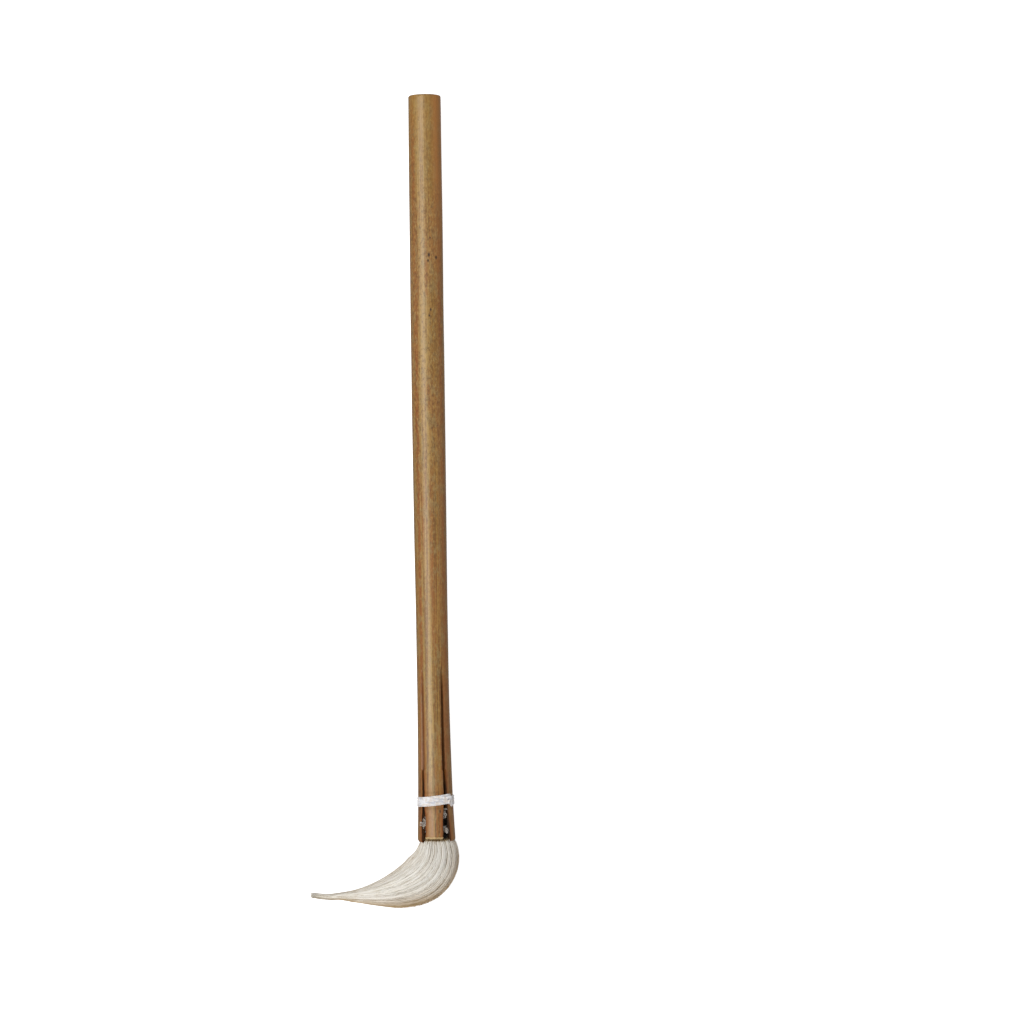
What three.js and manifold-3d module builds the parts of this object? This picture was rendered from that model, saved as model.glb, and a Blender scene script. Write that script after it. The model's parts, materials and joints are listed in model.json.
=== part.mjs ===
// A calligraphy brush: a hollow bamboo handle whose lower end is split into staves and bound with cotton thread,
// and a goat-hair tuft that stands bent to one side. Millimetres.
// The brush lies on a table, on its binding, its tuft and the rim of its cut top. The handle runs along +Y, the
// tuft is at the -Y end and sweeps to -X, and +Z is up. The origin is at the middle of the underside.
import * as THREE from "three";
import { mergeVertices } from "three/addons/utils/BufferGeometryUtils.js";
import Module from "manifold-3d";

const wasm = await Module();
wasm.setup();
const { lerp, smoothstep, degToRad } = THREE.MathUtils;

// Handle. Heights are measured along it, from its mouth, where the hair comes out.
const handleLength = 201.5;
const culmRadius = 4.42;
const waistDrop = 0.12; // how much slimmer the handle is at its waist
const waistHeight = 55;
const waistReach = 35;
const mouthFlare = 0.6; // how far the staves spread at the mouth
const flareHeight = 45;
const flarePower = 2.2;
const boreRadius = 1.9;
const mouthWall = 1; // wall that is left round the tapered socket, at the mouth and at its inner end
const innerWall = 1.15;
const socketDepth = 13;
const reamLength = 7; // cone between the socket and the bore
const topRounding = 0.35;
const mouthBevel = { height: 0.65, depth: 0.5 };

// Slits that part the staves. Azimuth is in degrees about the handle, 0 on top and 90 towards +X. Each is wide at
// the mouth, narrow under the binding, and closes upwards to a crack.
const slits = [
  { azimuth: 35, height: 45, mouthWidth: 2.2, neckWidth: 0.65 },
  { azimuth: 107, height: 40, mouthWidth: 1.3, neckWidth: 0.5 },
  { azimuth: 178, height: 44, mouthWidth: 1, neckWidth: 0.4 },
  { azimuth: 247, height: 38, mouthWidth: 1.2, neckWidth: 0.45 },
  { azimuth: 317.5, height: 43, mouthWidth: 0.8, neckWidth: 0.45 },
];
const neckHeight = 11;
const crackWidth = 0.12; // width at the closed upper end of each slit
const cutMargin = 2;

// Threads: the binding round the staves, and two ties round the hair root.
const seatGap = 0.1; // between a thread and what it is wound on, and round the bound root in its socket
const binding = { height: 10.4, turns: 3.1, pitch: 0.76, width: 0.7, thickness: 0.5, endAzimuth: 52 };
const bindingTilt = degToRad(4); // the winding climbs towards +X
const bindingKnot = { length: 2, width: 1.3, thickness: 0.8 };
const tieThread = 0.65;
const lowerTie = { height: 2.75, turns: 1.6, pitch: 0.72, endAzimuth: 60 };
const upperTie = { height: 7.25, turns: 3.9, pitch: 0.72, endAzimuth: 200 };

// Hair root and the resin that seals it.
const rootStart = 0.35;
const rootLength = 8.9;
const rootWaist = 0.25; // how far the lower tie pulls the root in
const sealGap = 0.15;
const sealThickness = 1.6;
const sealInset = 0.15; // the seal is slimmer than the root by this much

// Tuft. It turns about a pivot just below the mouth.
const pivotDepth = 5.2;
const mouthGap = 0.4; // between the tuft's round root end and the mouth
const tuftReach = 34; // from the handle's axis to the tip, sideways
const tuftDrop = 14.8; // from the mouth to the tip, along the handle
const rootBend = { x: -1.1, y: -10.2 };
const tipBend = { x: -9.5, y: -17.1 };
const bellyHalfWidth = 6.6;
const bellyHalfThickness = 5.3;
const slimHalfWidth = 0.6; // of the drawn-out tip
const pointHalfWidth = 0.12;
const bellyAt = 0.14; // places along the tuft, as shares of its length
const slimAt = 0.88;
const pointAt = 0.96;
const coverEndAt = 0.64;
const coreRootRadius = 2.3;
const coreBellyRadius = 3.3;
const coreGap = 0.2; // between the core and the cover
const coreStartHeight = 2.6; // of the core's root end above the pivot

// Facets
const aroundHandle = 40;
const handleRings = 14;
const threadSides = 8;
const aroundRoot = 20;
const stepsPerTurn = 20;
const aroundTuft = 20;
const tuftRings = 22;

const ballRadius = pivotDepth - mouthGap;
const bindingThread = { ...binding, radiusUnder: outerRadius, tilt: bindingTilt };
const mouthSocketRadius = outerRadius(0) - mouthWall;
const innerSocketRadius = outerRadius(socketDepth) - innerWall;
const tuftLine = new THREE.CubicBezierCurve3(
  new THREE.Vector3(0, -pivotDepth, 0),
  new THREE.Vector3(rootBend.x, rootBend.y, 0),
  new THREE.Vector3(tipBend.x, tipBend.y, 0),
  new THREE.Vector3(-tuftReach, -tuftDrop, 0),
);

const bamboo = new THREE.MeshStandardMaterial({ color: 0xa0784b, roughness: 0.45, metalness: 0 });
const cotton = new THREE.MeshStandardMaterial({ color: 0xebe6e4, roughness: 0.9, metalness: 0 });
const hair = new THREE.MeshStandardMaterial({ color: 0xebe6da, roughness: 0.6, metalness: 0 });
const coreHairShade = new THREE.MeshStandardMaterial({ color: 0xd8cdb8, roughness: 0.6, metalness: 0 });
const resin = new THREE.MeshStandardMaterial({ color: 0x3a2415, roughness: 0.25, metalness: 0 });

// The handle's outside radius at a height above the mouth.
function outerRadius(height) {
  const flare = Math.max(0, 1 - height / flareHeight) ** flarePower;
  const waist = Math.exp(-(((height - waistHeight) / waistReach) ** 2));
  return culmRadius - waistDrop * waist + mouthFlare * flare;
}

// A closed three.js geometry as a solid that can be joined and cut.
function solidFrom(geometry) {
  geometry.deleteAttribute("normal");
  geometry.deleteAttribute("uv");
  const merged = mergeVertices(geometry, 1e-4);
  return new wasm.Manifold(
    new wasm.Mesh({
      numProp: 3,
      vertProperties: merged.attributes.position.array,
      triVerts: new Uint32Array(merged.index.array),
    }),
  );
}

// A named piece from a solid.
function pieceFrom(name, solid, material) {
  const mesh = solid.getMesh();
  const geometry = new THREE.BufferGeometry();
  geometry.setAttribute("position", new THREE.BufferAttribute(mesh.vertProperties, 3));
  geometry.setIndex(new THREE.BufferAttribute(mesh.triVerts, 1));
  geometry.computeVertexNormals();
  const piece = new THREE.Mesh(geometry, material);
  piece.name = name;
  return piece;
}

// A body of revolution about the handle's axis. The outline closes on itself or starts and ends on the axis.
function turned(outline, around = aroundRoot) {
  const points = outline.map(([radius, height]) => new THREE.Vector2(radius, height));
  return solidFrom(new THREE.LatheGeometry(points, around));
}

// A wedge that parts two staves, wide at the mouth and closing upwards to a crack.
function slitCutter({ azimuth, height, mouthWidth, neckWidth }) {
  const side = [
    [mouthWidth / 2, -cutMargin],
    [mouthWidth / 2, 0],
    [neckWidth / 2, neckHeight],
    [crackWidth / 2, height],
  ];
  const otherSide = side.map(([across, along]) => [-across, along]).reverse();
  const wedge = new THREE.Shape([...side, ...otherSide].map(([x, y]) => new THREE.Vector2(x, y)));
  const depth = outerRadius(0) + cutMargin;
  const cutter = new THREE.ExtrudeGeometry(wedge, { depth, bevelEnabled: false });
  return solidFrom(cutter.rotateY(degToRad(azimuth)));
}

function bambooHandle() {
  const topRadius = outerRadius(handleLength);
  const outline = [
    [mouthSocketRadius, 0],
    [outerRadius(0) - mouthBevel.depth, 0],
  ];
  for (let ring = 0; ring <= handleRings; ring++) {
    // Rings are closest at the mouth, where the radius changes fastest.
    const share = (ring / handleRings) ** 2;
    const height = lerp(mouthBevel.height, handleLength - topRounding, share);
    outline.push([outerRadius(height), height]);
  }
  outline.push([topRadius - topRounding, handleLength]);
  outline.push([boreRadius, handleLength]);
  outline.push([boreRadius, socketDepth + reamLength]);
  outline.push([innerSocketRadius, socketDepth]);
  outline.push([mouthSocketRadius, 0]);
  let culm = turned(outline, aroundHandle);
  for (const slit of slits) culm = culm.subtract(slitCutter(slit));
  return pieceFrom("bamboo_handle", culm, bamboo);
}

// The path of a thread wound round the handle's axis, with its section kept square to what it is wound on.
class Winding extends THREE.Curve {
  constructor({ height, turns, pitch, thickness, endAzimuth, radiusUnder, tilt = 0 }) {
    super();
    Object.assign(this, { height, turns, pitch, thickness, endAzimuth, radiusUnder, tilt });
  }

  outward(t) {
    const angle = degToRad(this.endAzimuth) - (1 - t) * this.turns * 2 * Math.PI;
    return new THREE.Vector3(Math.sin(angle), 0, Math.cos(angle));
  }

  getPoint(t, target = new THREE.Vector3()) {
    const outward = this.outward(t);
    const level = this.height + (t - 0.5) * this.turns * this.pitch;
    const climb = outward.x * this.radiusUnder(level) * Math.tan(this.tilt);
    const radius = this.radiusUnder(level + climb) + seatGap + this.thickness / 2;
    return target.copy(outward).multiplyScalar(radius).setY(level + climb);
  }

  computeFrenetFrames(segments) {
    const shares = Array.from({ length: segments + 1 }, (_, step) => step / segments);
    const tangents = shares.map((t) => this.getTangentAt(t));
    const normals = shares.map((t, step) => {
      const outward = this.outward(this.getUtoTmapping(t));
      return outward.projectOnPlane(tangents[step]).normalize();
    });
    const binormals = normals.map((normal, step) => new THREE.Vector3().crossVectors(tangents[step], normal));
    return { tangents, normals, binormals };
  }
}

// A thread with an oval section, wound as a helix.
function woundThread(thread) {
  const section = new THREE.Shape();
  section.absellipse(0, 0, thread.thickness / 2, thread.width / 2, 0, 2 * Math.PI);
  const geometry = new THREE.ExtrudeGeometry(section, {
    curveSegments: threadSides / 2,
    steps: Math.round(stepsPerTurn * thread.turns),
    extrudePath: new Winding(thread),
  });
  return solidFrom(geometry);
}

function bindingPiece() {
  const path = new Winding(bindingThread);
  const lift = (bindingKnot.thickness - binding.thickness) / 2; // its inner side is level with the thread's
  const place = path.getPoint(1).addScaledVector(path.outward(1), lift);
  const knot = new THREE.SphereGeometry(0.5, 12, 8);
  knot.scale(bindingKnot.length, bindingKnot.width, bindingKnot.thickness);
  knot.rotateY(degToRad(binding.endAzimuth));
  knot.translate(place.x, place.y, place.z);
  return pieceFrom("binding_thread", woundThread(bindingThread).add(solidFrom(knot)), cotton);
}

// The radius of the bound hair root at a height above the mouth. It tapers with the socket, and the lower tie
// pulls it in.
function rootRadiusAt(height) {
  const socket = lerp(mouthSocketRadius, innerSocketRadius, height / socketDepth);
  const pull = Math.exp(-((height - lowerTie.height) ** 2));
  return socket - 2 * seatGap - tieThread - rootWaist * pull;
}

function hairRoot() {
  const rings = 14;
  const outline = [[0, rootStart]];
  for (let ring = 0; ring <= rings; ring++) {
    const height = rootStart + (rootLength * ring) / rings;
    outline.push([rootRadiusAt(height), height]);
  }
  outline.push([0, rootStart + rootLength]);
  return pieceFrom("hair_root", turned(outline), hair);
}

function rootTie(name, tie) {
  const thread = { ...tie, width: tieThread, thickness: tieThread, radiusUnder: rootRadiusAt };
  return pieceFrom(name, woundThread(thread), cotton);
}

function rootSeal() {
  const bottom = rootStart + rootLength + sealGap;
  const sealRadius = rootRadiusAt(bottom) - sealInset;
  const rings = 5;
  const outline = [[0, bottom]];
  for (let ring = 0; ring < rings; ring++) {
    const angle = (ring / rings) * (Math.PI / 2);
    const radius = sealRadius * Math.cos(angle);
    outline.push([radius, bottom + sealThickness * (0.35 + 0.65 * Math.sin(angle))]);
  }
  outline.splice(1, 0, [sealRadius, bottom]);
  outline.push([0, bottom + sealThickness]);
  return pieceFrom("root_seal", turned(outline), resin);
}

// The tuft's half width in the plane it bends in, at a share of its length from the pivot.
function coverHalfWidth(t) {
  const swollen = lerp(ballRadius, bellyHalfWidth, smoothstep(t, 0, bellyAt));
  const slim = lerp(swollen, slimHalfWidth, smoothstep(t, bellyAt, slimAt));
  return lerp(slim, pointHalfWidth, smoothstep(t, pointAt, 1));
}

// The tuft is flatter than it is wide at its belly.
function coverHalfThickness(t) {
  const belly = bellyHalfThickness / bellyHalfWidth;
  const flatness = lerp(1, belly, smoothstep(t, 0, bellyAt));
  return coverHalfWidth(t) * lerp(flatness, 1, smoothstep(t, coverEndAt, slimAt));
}

// The core is slim under the cover and is the whole tuft past the cover's end.
function coreShare(t) {
  const under = lerp(coreRootRadius / ballRadius, coreBellyRadius / bellyHalfWidth, smoothstep(t, 0, bellyAt));
  return lerp(under, 1, smoothstep(t, coverEndAt * 0.7, coverEndAt + 0.1));
}

// A bar bent along the tuft's middle line, from one share of its length to another.
function bentBar(from, to, halfWidthAt, halfThicknessAt) {
  const bar = new THREE.CylinderGeometry(1, 1, 1, aroundTuft, tuftRings);
  const place = bar.attributes.position;
  for (let i = 0; i < place.count; i++) {
    const t = lerp(from, to, 0.5 - place.getY(i));
    const middle = tuftLine.getPointAt(t);
    const along = tuftLine.getTangentAt(t);
    const across = place.getX(i) * halfWidthAt(t);
    place.setXYZ(
      i,
      middle.x - along.y * across,
      middle.y + along.x * across,
      place.getZ(i) * halfThicknessAt(t),
    );
  }
  return solidFrom(bar);
}

// A ball or a post at the pivot, for the tuft's root end.
function rootBall(radius) {
  const ball = new THREE.SphereGeometry(radius, aroundTuft, aroundTuft / 2);
  return solidFrom(ball.translate(0, -pivotDepth, 0));
}

function rootPost(radius, height) {
  const post = new THREE.CylinderGeometry(radius, radius, height, aroundTuft);
  return solidFrom(post.translate(0, height / 2 - pivotDepth, 0));
}

// The core, or with a gap the hollow that it needs. A ball fills the elbow between its post and its bar.
function coreWithGap(gap) {
  const radius = coreRootRadius + gap;
  const halfWidth = (t) => coverHalfWidth(t) * coreShare(t) + gap;
  const halfThickness = (t) => coverHalfThickness(t) * coreShare(t) + gap;
  const post = rootPost(radius, coreStartHeight + gap);
  return bentBar(0, 1, halfWidth, halfThickness).add(post).add(rootBall(radius));
}

function coreHair() {
  return pieceFrom("core_hair", coreWithGap(0), coreHairShade);
}

function coverHair() {
  const outside = bentBar(0, coverEndAt, coverHalfWidth, coverHalfThickness).add(rootBall(ballRadius));
  return pieceFrom("cover_hair", outside.subtract(coreWithGap(coreGap)), hair);
}

// The brush in its own frame: the mouth at the origin, the handle up +Y and the tuft bent to -X.
const brush = new THREE.Group();
brush.add(bambooHandle(), bindingPiece(), hairRoot());
brush.add(rootTie("lower_root_tie", lowerTie), rootTie("upper_root_tie", upperTie), rootSeal());
brush.add(coreHair(), coverHair());

// Laid on the table: the binding is thicker than the top, so the handle slopes down a little towards its top.
const bindingOutside = outerRadius(binding.height) + seatGap + binding.thickness;
const slope = (bindingOutside - outerRadius(handleLength)) / (handleLength - binding.height);
brush.rotation.x = -Math.atan(slope);
brush.updateMatrixWorld(true);
const laid = new THREE.Box3().setFromObject(brush, true);
const middle = laid.getCenter(new THREE.Vector3());
brush.position.set(-middle.x, -middle.y, -laid.min.z);

const calligraphyBrush = new THREE.Group();
calligraphyBrush.add(brush);

export default calligraphyBrush;
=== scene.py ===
import json
import math
import random

import bmesh
import bpy
import numpy as np
from mathutils import Matrix, Vector, geometry, noise


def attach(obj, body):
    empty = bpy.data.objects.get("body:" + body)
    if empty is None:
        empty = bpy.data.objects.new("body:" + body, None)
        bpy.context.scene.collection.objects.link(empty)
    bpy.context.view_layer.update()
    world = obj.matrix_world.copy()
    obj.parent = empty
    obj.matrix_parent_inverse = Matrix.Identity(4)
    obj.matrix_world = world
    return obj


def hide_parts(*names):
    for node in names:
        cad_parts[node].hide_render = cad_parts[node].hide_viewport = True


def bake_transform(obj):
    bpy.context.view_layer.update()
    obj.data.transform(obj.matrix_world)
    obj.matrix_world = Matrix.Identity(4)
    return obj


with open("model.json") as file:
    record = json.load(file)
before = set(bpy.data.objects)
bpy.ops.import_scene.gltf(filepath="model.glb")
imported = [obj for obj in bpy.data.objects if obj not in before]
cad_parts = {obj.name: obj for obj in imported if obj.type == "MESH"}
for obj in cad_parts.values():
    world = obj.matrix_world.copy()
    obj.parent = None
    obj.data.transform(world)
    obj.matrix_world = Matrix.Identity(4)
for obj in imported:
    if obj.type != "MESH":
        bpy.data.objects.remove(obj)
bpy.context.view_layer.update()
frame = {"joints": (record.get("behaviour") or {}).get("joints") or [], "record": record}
mm = 0.001

# The brush's own frame: the handle's mouth at zero, y up the handle, x to the right and z up from the table.
# Everything is modelled there in millimetres, then laid in its place with brushPlace.
tuftJoint = frame["joints"][0]
handleEnd = frame["record"]["mounts"][0]
pivotBelowMouth = 5.2
alongHandle = Vector(handleEnd["axis"]).normalized()
aboveBrush = Vector(tuftJoint["axis"]).normalized()
sideways = alongHandle.cross(aboveBrush)
mouthPoint = Vector(tuftJoint["pos_m"]) + alongHandle * pivotBelowMouth * mm
handleLength = (Vector(handleEnd["pos_m"]) - mouthPoint).dot(alongHandle) / mm
brushTurn = Matrix((sideways, alongHandle, aboveBrush)).transposed().to_4x4()
brushPlace = Matrix.Translation(mouthPoint) @ brushTurn @ Matrix.Scale(mm, 4)


def smoothStep(value, low, high):
    share = min(1.0, max(0.0, (value - low) / (high - low)))
    return share * share * (3 - 2 * share)


def mix(a, b, share):
    return a + (b - a) * share


def noiseAt(x, y, z):
    return noise.noise(Vector((x, y, z)))


def srgb(red, green, blue):
    def linear(value):
        value /= 255
        return value / 12.92 if value <= 0.04045 else ((value + 0.055) / 1.055) ** 2.4
    return (linear(red), linear(green), linear(blue), 1)


def layDown(bm):
    bmesh.ops.transform(bm, matrix=brushPlace, verts=bm.verts)


def addObject(name, data):
    made = bpy.data.objects.new(name, data)
    bpy.context.scene.collection.objects.link(made)
    return made


def meshFrom(bm, name, smooth=True):
    mesh = bpy.data.meshes.new(name)
    bm.to_mesh(mesh)
    bm.free()
    if smooth:
        mesh.shade_smooth()
    return mesh


# A body of revolution about y from its (radius, height) points.
def spunBody(outline, steps, closed=False):
    bm = bmesh.new()
    points = [bm.verts.new((radius, height, 0)) for radius, height in outline]
    following = points[1:] + (points[:1] if closed else [])
    lines = [bm.edges.new(pair) for pair in zip(points, following)]
    bmesh.ops.spin(bm, geom=points + lines, cent=(0, 0, 0), axis=(0, 1, 0), dvec=(0, 0, 0),
                   angle=math.tau, steps=steps, use_merge=True)
    bmesh.ops.remove_doubles(bm, verts=bm.verts, dist=1e-4)
    return bm


def finishPiece(name, mesh, materials, replaced=(), body="handle"):
    mesh.name = name
    piece = addObject(name, mesh)
    for material in materials:
        mesh.materials.append(material)
    if body:
        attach(piece, body)
    if replaced:
        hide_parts(*replaced)
    return piece


def addNode(tree, kind, inputs=None, **settings):
    node = tree.nodes.new(kind)
    for key, value in settings.items():
        setattr(node, key, value)
    for key, value in (inputs or {}).items():
        if isinstance(value, bpy.types.NodeSocket):
            tree.links.new(value, node.inputs[key])
        else:
            node.inputs[key].default_value = value
    return node


def addRamp(tree, value, stops):
    ramp = addNode(tree, "ShaderNodeValToRGB", {"Fac": value})
    elements = ramp.color_ramp.elements
    while len(elements) < len(stops):
        elements.new(0.5)
    for element, (place, colour) in zip(elements, stops):
        element.position = place
        element.color = colour
    return ramp.outputs["Color"]


def mixColour(tree, share, a, b, blend="MIX"):
    node = addNode(tree, "ShaderNodeMix", {"Factor": share}, data_type="RGBA", blend_type=blend)
    for socket, value in ((node.inputs[6], a), (node.inputs[7], b)):
        if isinstance(value, bpy.types.NodeSocket):
            tree.links.new(value, socket)
        else:
            socket.default_value = value
    return node.outputs[2]


def maths(tree, operation, a, b=0.0):
    node = addNode(tree, "ShaderNodeMath", {0: a, 1: b}, operation=operation)
    return node.outputs[0]


def times(tree, a, b):
    return maths(tree, "MULTIPLY", a, b)


def plus(tree, a, b):
    return maths(tree, "ADD", a, b)


def minus(tree, a, b):
    return maths(tree, "SUBTRACT", a, b)


def vectorMaths(tree, operation, a, b=(0, 0, 0)):
    return addNode(tree, "ShaderNodeVectorMath", {0: a, 1: b}, operation=operation)


def mapRange(tree, value, low, high, toLow=0.0, toHigh=1.0):
    inputs = {"Value": value, "From Min": low, "From Max": high, "To Min": toLow, "To Max": toHigh}
    return addNode(tree, "ShaderNodeMapRange", inputs, interpolation_type="SMOOTHSTEP").outputs["Result"]


def noiseValue(tree, place, scale, detail, roughness=0.5):
    inputs = {"Vector": place, "Scale": scale, "Detail": detail, "Roughness": roughness}
    return addNode(tree, "ShaderNodeTexNoise", inputs).outputs["Fac"]


def stretched(tree, place, scale):
    return addNode(tree, "ShaderNodeMapping", {"Vector": place, "Scale": scale}).outputs[0]


def partOf(tree, place, axis):
    return addNode(tree, "ShaderNodeSeparateXYZ", {0: place}).outputs[axis]


def carried(tree, name):
    return addNode(tree, "ShaderNodeAttribute", attribute_name=name).outputs["Fac"]


# Inputs are numbers with their defaults, or vectors where the default is None. Outputs are numbers.
def newGroup(name, inputs, outputs):
    group = bpy.data.node_groups.new(name, "ShaderNodeTree")
    for socketName, default in inputs.items():
        kind = "NodeSocketVector" if default is None else "NodeSocketFloat"
        socket = group.interface.new_socket(name=socketName, in_out="INPUT", socket_type=kind)
        if default is not None:
            socket.default_value = default
    for socketName in outputs:
        group.interface.new_socket(name=socketName, in_out="OUTPUT", socket_type="NodeSocketFloat")
    return group, group.nodes.new("NodeGroupInput"), group.nodes.new("NodeGroupOutput")


# Lengthwise fibres, as bamboo shows on its skin and on a cut: fine, middle and broad streaks along y.
def makeFibreGroup():
    inputs = {"Vector": None, "Across": 1.0, "Run": 0.02}
    group, given, out = newGroup("lengthwiseFibres", inputs, ["Fine", "Middle", "Broad"])
    parts = addNode(group, "ShaderNodeSeparateXYZ", {0: given.outputs["Vector"]})
    run = times(group, parts.outputs["Y"], given.outputs["Run"])
    inputs = {"X": parts.outputs["X"], "Y": run, "Z": parts.outputs["Z"]}
    drawnOut = addNode(group, "ShaderNodeCombineXYZ", inputs).outputs[0]
    for socketName, perMillimetre, detail in (("Fine", 6.5, 3.0), ("Middle", 1.9, 3.0), ("Broad", 0.55, 2.0)):
        scale = times(group, given.outputs["Across"], perMillimetre)
        streaks = noiseValue(group, drawnOut, scale, detail)
        group.links.new(streaks, out.inputs[socketName])
    return group


# Small dark flecks, a few to a square centimetre.
def makeFleckGroup():
    inputs = {"Vector": None, "Scale": 0.6, "Size": 0.12, "Share": 0.12}
    group, given, out = newGroup("darkFlecks", inputs, ["Mask"])
    size = given.outputs["Size"]
    inputs = {"Vector": given.outputs["Vector"], "Scale": given.outputs["Scale"]}
    cells = addNode(group, "ShaderNodeTexVoronoi", inputs)
    inner = times(group, size, 0.45)
    inputs = {"Value": cells.outputs["Distance"], "From Min": size, "From Max": inner}
    near = addNode(group, "ShaderNodeMapRange", inputs)
    pick = addNode(group, "ShaderNodeSeparateColor", {0: cells.outputs["Color"]})
    chosen = maths(group, "LESS_THAN", pick.outputs["Red"], given.outputs["Share"])
    group.links.new(times(group, near.outputs["Result"], chosen), out.inputs["Mask"])
    return group


# One blemish in the skin at a chosen place, longer along the handle than across it.
def makeBlemishGroup():
    inputs = {"Vector": None, "Place": None, "Radius": 0.2}
    group, given, out = newGroup("skinBlemish", inputs, ["Mask"])
    place, radius = given.outputs["Vector"], given.outputs["Radius"]
    ragged = noiseValue(group, place, 5.0, 2.0)
    offset = vectorMaths(group, "SUBTRACT", place, given.outputs["Place"])
    squashed = vectorMaths(group, "MULTIPLY", offset.outputs[0], (1.0, 0.6, 0.25))
    reach = vectorMaths(group, "LENGTH", squashed.outputs[0]).outputs["Value"]
    away = minus(group, reach, times(group, ragged, radius))
    inside = addNode(group, "ShaderNodeMapRange", {"Value": away, "From Min": radius, "From Max": 0.0})
    group.links.new(inside.outputs["Result"], out.inputs["Mask"])
    return group


fibreGroup = makeFibreGroup()
fleckGroup = makeFleckGroup()
blemishGroup = makeBlemishGroup()


def useGroup(tree, group, inputs):
    return addNode(tree, "ShaderNodeGroup", inputs, node_tree=group).outputs


def newMaterial(name, settings):
    material = bpy.data.materials.new(name)
    material.use_nodes = True
    tree = material.node_tree
    shader = tree.nodes["Principled BSDF"]
    for key, value in settings.items():
        shader.inputs[key].default_value = value
    return material, tree, shader


# Object coordinates in the brush's own millimetres, so that a scale is a number per millimetre.
def brushCoordinates(tree):
    place = addNode(tree, "ShaderNodeTexCoord").outputs["Object"]
    turnBack = brushPlace.inverted()
    inputs = {"Vector": place, "Location": turnBack.to_translation(), "Rotation": turnBack.to_euler(),
              "Scale": (1 / mm,) * 3}
    return addNode(tree, "ShaderNodeMapping", inputs).outputs[0]


def addBump(tree, shader, height, depth, strength=1.0):
    bump = addNode(tree, "ShaderNodeBump", {"Height": height, "Distance": depth * mm, "Strength": strength})
    tree.links.new(bump.outputs["Normal"], shader.inputs["Normal"])


bambooSkinLook = {
    "shadow": srgb(92, 60, 18),
    "body": srgb(141, 101, 36),
    "light": srgb(176, 142, 78),
    "honey": srgb(158, 119, 48),
    "amber": srgb(176, 114, 44),
    "rosy": srgb(150, 101, 44),
    "rust": srgb(140, 76, 20),
    "grey": srgb(142, 120, 74),
    # The next dark brown lines the slits, partly as dirt and partly as painted shade, and lies along the
    # binding's edges as painted shade.
    "dirtAndShade": srgb(50, 25, 7),
    "fleck": srgb(44, 26, 14),
    "blemishes": [(1.15, 162.6, 0.16), (0.75, 158.0, 0.3), (0.55, 156.4, 0.24), (2.7, 157.3, 0.26),
                  (1.1, 143.2, 0.22), (0.7, 141.6, 0.2), (1.3, 7.8, 0.24)],
}


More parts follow.
